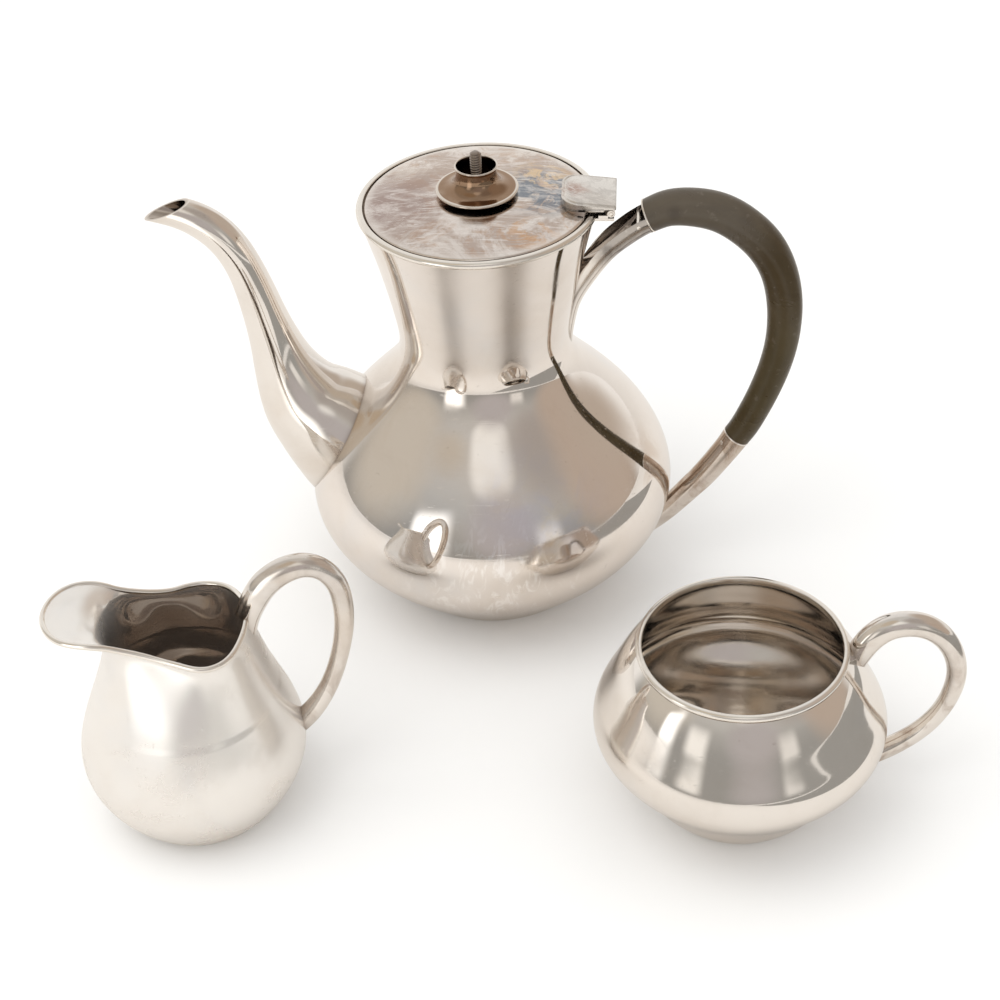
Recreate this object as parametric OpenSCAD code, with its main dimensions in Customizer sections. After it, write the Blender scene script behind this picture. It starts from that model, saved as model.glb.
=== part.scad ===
/* [Sheet] */
// Thickness of the silver sheet that the vessels are raised from
wall = 1.2; // [0.9:0.1:1.5]
// Height of the foot rings
foot_h = 2.5; // [2:0.25:3]

/* [Coffee pot] */
// Outer radius of the mouth wire
mouth_r = 50; // [49.8:0.1:50.4]
// Height of the mouth wire
mouth_wire_h = 3; // [2.5:0.25:3.5]
// Rings of holes round the middle hole of the strainer behind the spout
strainer_rings = 2; // [1:1:2]
// Radius of each strainer hole
strainer_hole_r = 1.75; // [1.25:0.25:2]

/* [Lid] */
// Radius of the lid plate
lid_r = 46.6; // [46.2:0.1:46.8]
// Rise of the lid's dome at its centre
lid_dome = 4; // [3:0.5:4.5]
// Radius of the stud that the knob screws on to
stud_r = 2.4; // [2:0.1:2.6]
// Height of the stud's tip above the table
stud_top = 213; // [211:0.5:215]

/* [Hinge] */
// Radius of the hinge pin
pin_r = 1; // [0.8:0.1:1]
// Running clearance round the hinge pin
pin_gap = 0.05; // [0.03:0.01:0.08]
// Width of the hinge leaves
hinge_w = 25; // [22:1:26]

/* [Handle] */
// Radius of the tenons at the ends of the grip
tenon_r = 4.4; // [3.8:0.2:4.6]
// Length of the tenons
tenon_len = 10; // [8:1:11]
// Radius of the rivets through the tenons
rivet_r = 0.9; // [0.7:0.1:1]

/* [Milk jug] */
// Distance of the jug's axis to the left of the pot's
jug_x = -112; // [-120:0.5:-110]
// Distance of the jug's axis in front of the pot's
jug_y = -150.5; // [-160:0.5:-148]
// Turn of the jug's handle from the pot's
jug_turn = 10; // [0:1:20]

/* [Sugar bowl] */
// Distance of the bowl's axis to the right of the pot's
bowl_x = 105.5; // [100:0.5:120]
// Distance of the bowl's axis in front of the pot's
bowl_y = -145.5; // [-160:0.5:-145]
// Turn of the bowl's handle from the pot's
bowl_turn = 5; // [0:1:20]

/* [Hidden] */
$fn = 96;
silver = [0.80, 0.77, 0.74];
worn_silver = [0.66, 0.58, 0.52];
dark_wood = [0.28, 0.22, 0.17];

// Outlines: [radius, height] from the foot up, joined by a smooth curve
pot_outline = [[45.7, foot_h], [49.2, 6], [55.2, 12], [63.2, 20], [70.3, 28], [77, 38],
    [80.3, 48], [79.8, 58], [76.4, 68], [70.8, 78], [63.3, 88], [54.2, 98], [46.4, 106],
    [40.6, 113], [37, 119.5], [35.9, 126], [36.6, 133], [40, 152], [44.5, 172], [49, 187.8]];
jug_outline = [[31.4, foot_h], [36.3, 8.5], [41.2, 17], [44.2, 24], [45.3, 31], [44.6, 38],
    [42.6, 45], [40.3, 51], [37.7, 58]];
bowl_outline = [[31.5, foot_h], [37.1, 9.3], [43.7, 19.4], [48.9, 26.5], [53.9, 33], [57, 39],
    [57.5, 44], [56.1, 49.5], [53.6, 54.5], [50.9, 60], [47, 68], [42.9, 74.5], [40.4, 77.4]];
bowl_top = 77.4;

// Heights on the pot, and the hinge's turning axis as [x, z]
pot_top = 187.8;
wire_top = pot_top + mouth_wire_h;
lid_thick = 1.2;
lid_edge_z = wire_top - 0.1;
lid_low_z = lid_edge_z - lid_thick;
pivot = [54.5, 190.9];
hinge_turn_room = 1.75;
knuckle_r = 1.65;
knuckle_half = 6;

// Spout stations: [reach, height, radius], from inside the belly to the tip
spout_stations = [[50, 56, 26], [60.5, 69.5, 28.3], [72, 82, 24.6], [80.3, 92, 20.4],
    [84.9, 101.3, 16.7], [88.4, 112, 13.4], [91, 123, 11], [93.7, 135, 9.4], [96.6, 148, 8.4],
    [99.4, 158, 7.8], [103, 167, 7.6], [108.5, 175.5, 7.5], [116, 182, 7.2], [125, 186.2, 6.5],
    [138, 189, 5.6]];
tip_low = [135.6, 184.8];
tip_high = [114.5, 193];

// The pot's handle: [x, z, radius]; each socket ends in a straight stretch at its ferrule
upper_end = [69.2, 182.9];
upper_angle = 24;
lower_end = [108.5, 71.3];
lower_angle = -120.5;
ferrule_w = 0.8;
upper_socket_stations = [[34.2, 119, 2.6], [34.6, 131, 3.9], [36.6, 143.5, 5], [42, 155.5, 6],
    [50.6, 168.4, 6.6], [59.6, 176.8, 6.9], along(upper_end, upper_angle, -3, 7.1), along(upper_end, upper_angle, 1, 7.1)];
grip_stations = [along(upper_end, upper_angle, -0.2, 7.1), along(upper_end, upper_angle, 9, 7.5),
    [86.9, 186.9, 7.9], [97.7, 184.6, 8.1], [107.4, 178.8, 8.2], [116.9, 169.2, 8.1], [123.4, 156.6, 7.7],
    [126.6, 141.2, 7.5], [126.6, 124.5, 7.1], [124, 109.3, 6.8], [119, 93.5, 6.5],
    along(lower_end, lower_angle, -8, 6.3), along(lower_end, lower_angle, 0.2, 6.1)];
lower_socket_stations = [along(lower_end, lower_angle, -1, 6.1), along(lower_end, lower_angle, 8, 5.8),
    [95.6, 51.2, 5.6], [87, 40.6, 5.3], [78.2, 30.4, 5], [69, 22, 4.8], [58, 15, 4.6]];

// Handles of the jug and the bowl, from the root under the rim to the lower end
jug_handle_stations = [[25.5, 82, 4.8], [28.3, 93, 5], [34.4, 105, 5.4], [39.8, 110.6, 5.3], [45.6, 114, 5.1],
    [52.3, 115.1, 4.7], [58.8, 112.2, 4.3], [63.6, 104.6, 4.1], [65.2, 94, 4], [64.6, 82, 3.8],
    [62.2, 70, 3.6], [58.6, 58.4, 3.6], [54, 48.4, 3.8], [47.6, 39, 4.2], [39, 31, 4.6]];
bowl_handle_stations = [[40, 60, 4.6], [44, 70, 4.9], [48.8, 79, 5.1], [54.8, 84.5, 5.1], [61.8, 86.1, 5],
    [69, 84.7, 4.8], [75.6, 80, 4.5], [80.8, 72.2, 4.1], [83.7, 62.5, 3.9], [83.6, 52.5, 3.8],
    [80.3, 41.2, 3.6], [74.2, 31.4, 3.7], [65, 23.2, 3.9], [54, 17, 4.2], [43, 12.4, 4.4], [36, 10, 4.4]];

// Half of the jug's rim from the tip of the lip to the handle: [x, y, z]
jug_rim_half = [[-49, 0, 102.2], [-43.6, 14, 102.2], [-32, 19, 101.8], [-19.5, 18, 97.8],
    [-4, 20.5, 92.5], [9.5, 26, 89.5], [21, 22, 90], [27.5, 9.5, 93], [29, 0, 95]];
// Half of the jug's throat, where the lip folds over into the neck
jug_throat_half = [[-27, 0, 96], [-26, 9, 96], [-22, 15, 95.2], [-15, 18, 93.4],
    [-3, 20.5, 89], [10, 26, 86], [21.5, 22, 86.5], [28, 9.5, 88.5], [29.5, 0, 90]];
// Bearings of the same half on the jug's neck, and how flat the lip lies there
jug_bearing_half = [180, 160, 140, 120, 96, 70, 46, 21, 0];
jug_flat_half = [1, 1, 0.9, 0.5, 0.15, 0, 0, 0, 0];

// A point on a ferrule's axis, at a distance from its middle, with a radius
function along(p, angle, far, r) = [p[0] + far * cos(angle), p[1] + far * sin(angle), r];

// Catmull-Rom curve through a list of points, n steps a span
function blend(a, b, c, d, t) = 0.5 * (2 * b + (c - a) * t + (2 * a - 5 * b + 4 * c - d) * t * t
    + (3 * b - a - 3 * c + d) * t * t * t);
function open_at(p, i) = i < 0 ? 2 * p[0] - p[1]
    : i >= len(p) ? 2 * p[len(p) - 1] - p[len(p) - 2] : p[i];
function smooth(p, n) = concat([for (i = [0 : len(p) - 2], k = [0 : n - 1])
    blend(open_at(p, i - 1), p[i], p[i + 1], open_at(p, i + 2), k / n)], [p[len(p) - 1]]);
function loop_at(p, i) = p[(i + len(p)) % len(p)];
function smooth_loop(p, n) = [for (i = [0 : len(p) - 1], k = [0 : n - 1])
    blend(loop_at(p, i - 1), p[i], loop_at(p, i + 1), loop_at(p, i + 2), k / n)];
function unit(v) = v / norm(v);
function backwards(p) = [for (i = [len(p) - 1 : -1 : 0]) p[i]];

// The inner line of a wall, measured square to its outer line
function slope_at(p, i) = unit(p[min(i + 1, len(p) - 1)] - p[max(i - 1, 0)]);
function inside_line(p, low) = [for (i = [0 : len(p) - 1])
    [p[i][0] - wall * slope_at(p, i)[1],
        min(max(p[i][1] + wall * slope_at(p, i)[0], low), p[len(p) - 1][1])]];

// Rings of points round a path in the XZ plane, shrunk by an amount
function path_ring(s, i, sides, shrink) = let (d = slope_at([for (q = s) [q[0], q[1]]], i), r = s[i][2] - shrink)
    [for (a = [0 : sides - 1]) let (t = a * 360 / sides)
        [s[i][0] + r * cos(t) * d[1], r * sin(t), s[i][1] - r * cos(t) * d[0]]];

// Triangles between rings of m points; rings run upwards and points anticlockwise
function side_faces(rings, m, start) = [for (i = [0 : rings - 2], j = [0 : m - 1], k = [0, 1])
    let (a = start + i * m + j, b = start + i * m + (j + 1) % m)
    k == 0 ? [a, a + m, b + m] : [a, b + m, b]];

// A solid rod along stations of [x, z, radius]
module rod(stations, steps, sides, shrink = 0) {
    s = smooth(stations, steps);
    rings = [for (i = [0 : len(s) - 1]) path_ring(s, i, sides, shrink)];
    caps = [[for (j = [0 : sides - 1]) j],
        [for (j = [sides - 1 : -1 : 0]) (len(s) - 1) * sides + j]];
    polyhedron([for (ring = rings, p = ring) p], concat(side_faces(len(s), sides, 0), caps));
}

// A vessel turned from one outline, open at the top, with a flat bottom
module turned_vessel(outline, n) {
    outer = smooth(outline, n);
    inner = inside_line(outer, foot_h + wall);
    rotate_extrude()
        polygon(concat([[0, foot_h]], outer, backwards(inner), [[0, foot_h + wall]]));
}

// The same vessel filled to the brim, used to shape what is soldered on to it
module turned_fill(outline, n) {
    outer = smooth(outline, n);
    rotate_extrude()
        polygon(concat([[0, foot_h]], outer, [[0, outer[len(outer) - 1][1]]]));
}

// A foot ring under a vessel whose body starts at radius r
module foot_ring(r) {
    rotate_extrude()
        polygon([[r - 4.6, 0], [r - 2.4, 0], [r - 1.4, 0.8], [r - 0.3, foot_h], [r - 4.2, foot_h]]);
}

// A half-round wire that lies on the edge of a vessel
module mouth_wire(outer_r, w, h, low) {
    bend = min(w, h) / 2;
    rotate_extrude()
        translate([outer_r - w, low])
            polygon(concat([[0, 0], [w - bend, 0]],
                [for (a = [-75 : 15 : 75]) [w - bend + bend * cos(a), h / 2 + (h / 2) * sin(a)]],
                [[w - bend, h], [0.4, h], [0, h - 0.4]]));
}

// Places its children on a ferrule, with +Z along the handle
module at_ferrule(p, angle) {
    translate([p[0], 0, p[1]])
        rotate([0, 90 - angle, 0])
            children();
}

module jug_place() {
    translate([jug_x, jug_y, 0])
        rotate([0, 0, jug_turn])
            children();
}

module bowl_place() {
    translate([bowl_x, bowl_y, 0])
        rotate([0, 0, bowl_turn])
            children();
}

// ---- Coffee pot ----

module strainer_holes() {
    rotate([0, 0, 180])
        translate([66, 0, 80])
            rotate([0, 46, 0])
                for (ring = [0 : strainer_rings], k = [0 : max(1, 6 * ring) - 1])
                    rotate([0, 0, k * 360 / max(1, 6 * ring)])
                        translate([ring * 7, 0, -20])
                            cylinder(r = strainer_hole_r, h = 40, $fn = 24);
}

module pot_body() {
    color(silver)
        difference() {
            turned_vessel(pot_outline, 3);
            strainer_holes();
        }
}

module pot_foot_ring() {
    color(silver)
        foot_ring(45.7);
}

module pot_mouth_wire() {
    color(silver)
        mouth_wire(mouth_r, 2.8, mouth_wire_h, pot_top);
}

module lid_seat() {
    color(silver)
        rotate_extrude()
            polygon([[45.2, pot_top + 0.2], [mouth_r - 2.8, pot_top + 0.2],
                [mouth_r - 2.8, lid_low_z - 0.1], [45.2, lid_low_z - 0.1]]);
}

// Everything above the slanting cut at the spout's tip
module tip_cut() {
    slant = atan2(tip_high[1] - tip_low[1], tip_high[0] - tip_low[0]);
    translate([tip_low[0], 0, tip_low[1]])
        rotate([0, -slant, 0])
            translate([-30, -20, -40])
                cube([80, 40, 40]);
}

module spout() {
    color(silver)
        difference() {
            rotate([0, 0, 180])
                difference() {
                    rod(spout_stations, 2, 24);
                    rod(spout_stations, 2, 24, wall);
                    tip_cut();
                }
            turned_fill(pot_outline, 3);
        }
}

// ---- Lid ----

function lid_height(r) = lid_dome * (1 - pow(r / lid_r, 2));
lid_line = [for (r = [0 : 3.5 : lid_r]) [r, lid_height(r)]];

module lid_plate() {
    color(worn_silver)
        difference() {
            rotate_extrude()
                polygon(concat([for (p = lid_line) [p[0], lid_edge_z + p[1]]],
                    [[lid_r, lid_edge_z], [lid_r, lid_low_z]],
                    [for (p = backwards(lid_line)) [p[0], lid_low_z + p[1]]]));
            cylinder(r = shank_r + 0.05, h = 300);
        }
}

module lid_bezel() {
    color(silver)
        rotate_extrude()
            polygon([[43.2, 181], [44.2, 181], [44.2, lid_low_z + lid_height(44.2) - 0.02],
                [43.2, lid_low_z + lid_height(43.2) - 0.02]]);
}

cup_low = lid_edge_z + lid_dome;
cup_floor = cup_low + 3.8;
shank_r = 2;
cup_line = [[16.85, 2], [16.3, 2.5], [13.2, 2.8], [10.8, 3.9], [9.2, 5.8], [8.5, 8.2], [8.5, 10.6], [8.85, 12.4]];

module knob_cup() {
    color(worn_silver)
        difference() {
            rotate_extrude()
                translate([0, cup_low])
                    polygon(concat([[0, 0], [5, 0], [5.6, 1], [16.2, 1.5]], smooth(cup_line, 3),
                        [[8.1, 12.4], [7.6, 10.4], [7.4, 4.6], [6.6, 3.8], [0, 3.8]]));
            cylinder(r = shank_r + 0.05, h = 300);
        }
}

// A shouldered screw: the thick end stands up inside the cup, the shank goes through the lid
module knob_stud() {
    color(worn_silver) {
        translate([0, 0, cup_floor])
            cylinder(r = stud_r, h = stud_top - 0.6 - cup_floor);
        translate([0, 0, stud_top - 0.6])
            cylinder(r1 = stud_r, r2 = stud_r - 0.6, h = 0.6);
        translate([0, 0, 187])
            cylinder(r = shank_r, h = cup_floor - 187);
    }
}

washer_top = lid_low_z + lid_height(6.5) - 0.02;

module stud_washer() {
    color(silver)
        difference() {
            translate([0, 0, washer_top - 0.8])
                cylinder(r = 6.5, h = 0.8);
            cylinder(r = shank_r + 0.05, h = 300);
        }
}

module stud_nut() {
    color(silver)
        difference() {
            translate([0, 0, washer_top - 3.6])
                cylinder(r = 4.6, h = 2.8, $fn = 6);
            cylinder(r = shank_r + 0.05, h = 300);
        }
}

// ---- Hinge ----

leaf_front = 34.4;
leaf_back = 56.6;
leaf_low = pivot[1] + hinge_turn_room;
corner_r = 7;

// The lid leaf from the side, [x, z]: thin over the knuckles, thick in front of them, rising to the front
leaf_side = [[33, lid_edge_z], [44.8, lid_edge_z], [44.8, 191.7], [52.2, 191.7], [52.2, leaf_low],
    [leaf_back, leaf_low], [leaf_back, 194], [33, 196.7]];

// The lid leaf's outline: square at the back, round corners at the front
module leaf_outline(back) {
    half = hinge_w / 2;
    polygon(concat([[back, -half], [back, half]],
        [for (a = [90 : 15 : 180]) [leaf_front + corner_r + corner_r * cos(a), half - corner_r + corner_r * sin(a)]],
        [for (a = [180 : 15 : 270]) [leaf_front + corner_r + corner_r * cos(a), corner_r - half + corner_r * sin(a)]]));
}

module on_pivot(low, high) {
    translate([pivot[0], low, pivot[1]])
        rotate([-90, 0, 0])
            cylinder(r = knuckle_r, h = high - low);
}

module pin_bore(r) {
    translate([pivot[0], -20, pivot[1]])
        rotate([-90, 0, 0])
            cylinder(r = r, h = 40);
}

module lid_fill() {
    rotate_extrude()
        polygon(concat([for (p = lid_line) [p[0], lid_edge_z + p[1]]],
            [[lid_r, lid_edge_z], [lid_r, lid_low_z], [0, lid_low_z]]));
}

module lid_hinge_leaf() {
    color(worn_silver)
        difference() {
            union() {
                intersection() {
                    translate([0, 0, 190])
                        linear_extrude(8)
                            leaf_outline(leaf_back);
                    translate([0, 20, 0])
                        rotate([90, 0, 0])
                            linear_extrude(40)
                                polygon(leaf_side);
                }
                on_pivot(-knuckle_half + 0.15, knuckle_half - 0.15);
                translate([pivot[0] - 1.2, -knuckle_half + 0.15, pivot[1]])
                    cube([2.4, 2 * knuckle_half - 0.3, hinge_turn_room + 0.4]);
            }
            lid_fill();
            pin_bore(pin_r + pin_gap);
        }
}

module pot_hinge_leaf() {
    half = hinge_w / 2;
    plate_top = pivot[1] - 1.9;
    color(silver)
        difference() {
            union() {
                translate([46, -half, plate_top - 1.2])
                    cube([pivot[0] + 1.2 - 46, 2 * half, 1.2]);
                for (side = [-1, 1]) {
                    on_pivot(side > 0 ? knuckle_half : -half, side > 0 ? half : -knuckle_half);
                    translate([46, side > 0 ? knuckle_half : -half, plate_top - 1])
                        cube([pivot[0] + 1.2 - 46, half - knuckle_half, 2.3]);
                }
            }
            cylinder(r = mouth_r - 0.7, h = 300);
            pin_bore(pin_r);
        }
}

module hinge_pin() {
    color(silver)
        translate([pivot[0], -hinge_w / 2 - 0.3, pivot[1]])
            rotate([-90, 0, 0])
                cylinder(r = pin_r, h = hinge_w + 0.6);
}

// ---- Handle ----

// A disc between two distances along a ferrule's axis, to cut an end square
module square_cut(p, angle, low, high) {
    at_ferrule(p, angle)
        translate([0, 0, low])
            cylinder(r = 12, h = high - low);
}

module tenon_bore(p, angle, far) {
    at_ferrule(p, angle)
        translate([0, 0, min(0, far)])
            cylinder(r = tenon_r + 0.05, h = abs(far));
}

// Rivet through a socket, turned about the handle's own line
module rivet_at(p, angle, far, turn, r, reach) {
    at_ferrule(p, angle)
        translate([0, 0, far])
            rotate([0, 0, turn])
                rotate([0, 90, 0])
                    cylinder(r = r, h = 2 * reach, center = true, $fn = 24);
}

module upper_rivet_at(r, reach) {
    rivet_at(upper_end, upper_angle, -4, 90, r, reach);
}

module lower_rivet_at(r, reach) {
    rivet_at(lower_end, lower_angle, 4.5, -33, r, reach);
}

module upper_socket() {
    color(worn_silver)
        difference() {
            rod(upper_socket_stations, 3, 20);
            turned_fill(pot_outline, 3);
            square_cut(upper_end, upper_angle, 0, 3);
            tenon_bore(upper_end, upper_angle, -tenon_len - 0.3);
            upper_rivet_at(rivet_r, 12);
        }
}

module lower_socket() {
    color(worn_silver)
        difference() {
            rod(lower_socket_stations, 3, 20);
            turned_fill(pot_outline, 3);
            square_cut(lower_end, lower_angle, -3, 0);
            tenon_bore(lower_end, lower_angle, tenon_len + 0.3);
            lower_rivet_at(rivet_r, 12);
        }
}

module ferrule(p, angle, low, r) {
    at_ferrule(p, angle)
        translate([0, 0, low])
            difference() {
                cylinder(r = r, h = ferrule_w);
                translate([0, 0, -1])
                    cylinder(r = tenon_r + 0.05, h = ferrule_w + 2);
            }
}

module upper_ferrule() {
    color(silver)
        ferrule(upper_end, upper_angle, 0, 7.25);
}

module lower_ferrule() {
    color(silver)
        ferrule(lower_end, lower_angle, -ferrule_w, 6.3);
}

module handle_grip() {
    color(dark_wood)
        difference() {
            union() {
                difference() {
                    rod(grip_stations, 3, 24);
                    square_cut(upper_end, upper_angle, -2, ferrule_w);
                    square_cut(lower_end, lower_angle, -ferrule_w, 2);
                }
                at_ferrule(upper_end, upper_angle)
                    translate([0, 0, -tenon_len])
                        cylinder(r = tenon_r, h = tenon_len + 3);
                at_ferrule(lower_end, lower_angle)
                    translate([0, 0, -3])
                        cylinder(r = tenon_r, h = tenon_len + 3);
            }
            upper_rivet_at(rivet_r, 12);
            lower_rivet_at(rivet_r, 12);
        }
}

module upper_rivet() {
    color(silver)
        upper_rivet_at(rivet_r, 7.3);
}

module lower_rivet() {
    color(silver)
        lower_rivet_at(rivet_r, 6.2);
}

// ---- Milk jug ----

jug_steps = 3;
jug_points = 16 * jug_steps;
function mirrored(half) = concat([for (q = half) [q[0], -q[1], q[2]]], [for (i = [7 : -1 : 1]) half[i]]);
jug_rim = smooth_loop(mirrored(jug_rim_half), jug_steps);
jug_throat = smooth_loop(mirrored(jug_throat_half), jug_steps);
jug_bearings = [for (b = concat(-jug_bearing_half, [for (i = [7 : -1 : 1]) jug_bearing_half[i]])) [cos(b), sin(b)]];
jug_round = [for (p = smooth_loop(jug_bearings, jug_steps)) unit(p)];
jug_flat = smooth_loop([for (i = [0 : 15]) jug_flat_half[min(i, 16 - i)]], jug_steps);
jug_neck = jug_outline[len(jug_outline) - 1];

// Cubic from a to b that leaves along u and arrives along v
function cubic(a, u, b, v, t) = a * (1 + 2 * t) * pow(1 - t, 2) + u * t * pow(1 - t, 2)
    + b * t * t * (3 - 2 * t) - v * t * t * (1 - t);
function jug_start(j) = [jug_neck[0] * jug_round[j][0], jug_neck[0] * jug_round[j][1], jug_neck[1]];
function jug_rise(j) = unit([-0.36 * jug_round[j][0], -0.36 * jug_round[j][1], 1]);
function jug_fold(j) = unit(jug_rim[j] - jug_start(j));
function jug_out(j) = let (d = jug_rim[j] - jug_throat[j], flat = max(0, min(1, jug_flat[j])))
    flat * unit([d[0], d[1], 0.01]) + (1 - flat) * [0, 0, 1];
function jug_neck_ring(t) = [for (j = [0 : jug_points - 1]) let (far = norm(jug_throat[j] - jug_start(j)))
    cubic(jug_start(j), jug_rise(j) * far, jug_throat[j], jug_fold(j) * far * 0.8, t)];
function jug_lip_ring(t) = [for (j = [0 : jug_points - 1]) let (far = norm(jug_rim[j] - jug_throat[j]))
    cubic(jug_throat[j], jug_fold(j) * far * 0.8, jug_rim[j], jug_out(j) * far, t)];
jug_lower = smooth(jug_outline, 2);
jug_skin = concat(
    [for (p = jug_lower) [for (q = jug_round) [p[0] * q[0], p[0] * q[1], p[1]]]],
    [for (i = [1 : 6]) jug_neck_ring(i / 6)],
    [for (i = [1 : 5]) jug_lip_ring(i / 5)]);
jug_rings = len(jug_skin);

// The jug's inner skin, one wall inside the outer one
function jug_normal(i, j) = let (
    up = jug_skin[min(i + 1, jug_rings - 1)][j] - jug_skin[max(i - 1, 0)][j],
    round = jug_skin[i][(j + 1) % jug_points] - jug_skin[i][(j + jug_points - 1) % jug_points])
    unit(cross(round, up));
jug_inner = [for (i = [0 : jug_rings - 1]) [for (j = [0 : jug_points - 1])
    let (p = jug_skin[i][j] - wall * jug_normal(i, j)) [p[0], p[1], max(p[2], foot_h + wall)]]];

module jug_body() {
    n = jug_rings * jug_points;
    outer_faces = side_faces(jug_rings, jug_points, 0);
    inner_faces = [for (f = side_faces(jug_rings, jug_points, n)) [f[0], f[2], f[1]]];
    edge = [for (j = [0 : jug_points - 1], k = [0, 1])
        let (a = n - jug_points + j, b = n - jug_points + (j + 1) % jug_points)
        k == 0 ? [a, a + n, b + n] : [a, b + n, b]];
    caps = [[for (j = [0 : jug_points - 1]) j],
        [for (j = [jug_points - 1 : -1 : 0]) n + j]];
    color(silver)
        jug_place()
            polyhedron([for (ring = concat(jug_skin, jug_inner), p = ring) p],
                concat(outer_faces, inner_faces, edge, caps));
}

// A wire of half-round section along the jug's edge
wire_sides = 10;
function edge_mid(j) = (jug_skin[jug_rings - 1][j] + jug_inner[jug_rings - 1][j]) / 2;
function wire_ring(j) = let (
    next = edge_mid((j + 1) % jug_points),
    last = edge_mid((j + jug_points - 1) % jug_points),
    d = unit(next - last),
    out = unit(cross(d, [0, 0, 1])),
    up = cross(out, d))
    [for (k = [0 : wire_sides - 1]) let (a = k * 360 / wire_sides)
        edge_mid(j) + out * 1.15 * cos(a) - up * 1.3 * sin(a)];

module jug_rim_wire() {
    m = wire_sides;
    faces = [for (i = [0 : jug_points - 1], j = [0 : m - 1], k = [0, 1])
        let (a = i * m + j, b = i * m + (j + 1) % m,
            c = ((i + 1) % jug_points) * m + j, d = ((i + 1) % jug_points) * m + (j + 1) % m)
        k == 0 ? [a, c, d] : [a, d, b]];
    color(silver)
        jug_place()
            polyhedron([for (j = [0 : jug_points - 1], p = wire_ring(j)) p], faces);
}

module jug_foot_ring() {
    color(silver)
        jug_place()
            foot_ring(31.4);
}

// The jug filled up to its throat, with a point on top, used to shape the handle's ends
module jug_fill() {
    low = len(jug_lower) + 6;
    last = (low - 1) * jug_points;
    cone = [for (j = [0 : jug_points - 1]) [last + j, low * jug_points, last + (j + 1) % jug_points]];
    polyhedron(concat([for (i = [0 : low - 1], p = jug_skin[i]) p], [[0, 0, 105]]),
        concat(side_faces(low, jug_points, 0), cone, [[for (j = [0 : jug_points - 1]) j]]));
}

module jug_handle() {
    color(silver)
        jug_place()
            difference() {
                rod(jug_handle_stations, 3, 16);
                jug_fill();
            }
}

// ---- Sugar bowl ----

module bowl_body() {
    color(silver)
        bowl_place()
            turned_vessel(bowl_outline, 3);
}

module bowl_rim_wire() {
    color(silver)
        bowl_place()
            mouth_wire(40.85, 2.4, 2.7, bowl_top);
}

module bowl_foot_ring() {
    color(silver)
        bowl_place()
            foot_ring(31.5);
}

module bowl_handle() {
    color(silver)
        bowl_place()
            difference() {
                rod(bowl_handle_stations, 3, 16);
                turned_fill(bowl_outline, 3);
            }
}

pot_body();
pot_foot_ring();
pot_mouth_wire();
lid_seat();
spout();
lid_plate();
lid_bezel();
knob_cup();
knob_stud();
stud_washer();
stud_nut();
lid_hinge_leaf();
pot_hinge_leaf();
hinge_pin();
upper_socket();
upper_ferrule();
lower_socket();
lower_ferrule();
handle_grip();
upper_rivet();
lower_rivet();
jug_body();
jug_rim_wire();
jug_foot_ring();
jug_handle();
bowl_body();
bowl_rim_wire();
bowl_foot_ring();
bowl_handle();
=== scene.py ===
import bpy
import math
import numpy as np
from mathutils import Matrix, Vector


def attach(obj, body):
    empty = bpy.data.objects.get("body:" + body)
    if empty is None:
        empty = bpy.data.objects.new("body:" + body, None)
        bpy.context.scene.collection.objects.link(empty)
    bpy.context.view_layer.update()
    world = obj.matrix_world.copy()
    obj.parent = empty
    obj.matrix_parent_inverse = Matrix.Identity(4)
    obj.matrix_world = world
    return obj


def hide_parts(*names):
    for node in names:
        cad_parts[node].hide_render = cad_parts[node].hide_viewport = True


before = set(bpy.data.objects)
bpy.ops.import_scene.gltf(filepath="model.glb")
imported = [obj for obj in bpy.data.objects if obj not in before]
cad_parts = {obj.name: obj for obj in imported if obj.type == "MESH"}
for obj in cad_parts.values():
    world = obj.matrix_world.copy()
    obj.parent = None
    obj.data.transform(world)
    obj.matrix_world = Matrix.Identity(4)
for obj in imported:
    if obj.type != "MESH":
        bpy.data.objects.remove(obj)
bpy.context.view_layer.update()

MM = 0.001
WALL = 1.2
FOOT = 2.5


# ---------------------------------------------------------------- curves
def at_end(p, i):
    if i < 0:
        return 2 * p[0] - p[1]
    if i >= len(p):
        return 2 * p[-1] - p[-2]
    return p[i]


def blend(a, b, c, d, t):
    return 0.5 * (
        2 * b + (c - a) * t + (2 * a - 5 * b + 4 * c - d) * t * t + (3 * b - a - 3 * c + d) * t**3
    )


def smooth(points, n):
    p = [np.array(q, float) for q in points]
    out = [
        blend(at_end(p, i - 1), p[i], p[i + 1], at_end(p, i + 2), k / n)
        for i in range(len(p) - 1)
        for k in range(n)
    ]
    return np.array(out + [p[-1]])


def smooth_loop(points, n):
    p = [np.array(q, float) for q in points]
    m = len(p)
    return np.array(
        [blend(p[i - 1], p[i], p[(i + 1) % m], p[(i + 2) % m], k / n) for i in range(m) for k in range(n)]
    )


def fair(p, rounds):
    """Irons small changes of curvature out of a dense line, with its ends held."""
    p = np.array(p, float)
    for _ in range(rounds):
        p[1:-1] += 0.5 * ((p[:-2] + p[2:]) / 2 - p[1:-1])
    return p


def fair_loop(p, rounds, axis=0):
    """The same for a closed line."""
    p = np.array(p, float)
    for _ in range(rounds):
        p += 0.5 * ((np.roll(p, 1, axis) + np.roll(p, -1, axis)) / 2 - p)
    return p


def even(p, n):
    """The same line with n points at even steps along it."""
    d = np.concatenate([[0], np.cumsum(np.linalg.norm(np.diff(p[:, :2], axis=0), axis=1))])
    s = np.linspace(0, d[-1], n)
    return np.stack([np.interp(s, d, p[:, k]) for k in range(p.shape[1])], axis=1)


def unit(v):
    v = np.array(v, float)
    return v / np.linalg.norm(v, axis=-1, keepdims=True)


def offset(p, d):
    """A 2-D line moved sideways by d, to the left of its direction."""
    t = unit(np.gradient(p, axis=0))
    return p + d * np.stack([-t[:, 1], t[:, 0]], axis=1)


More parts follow.
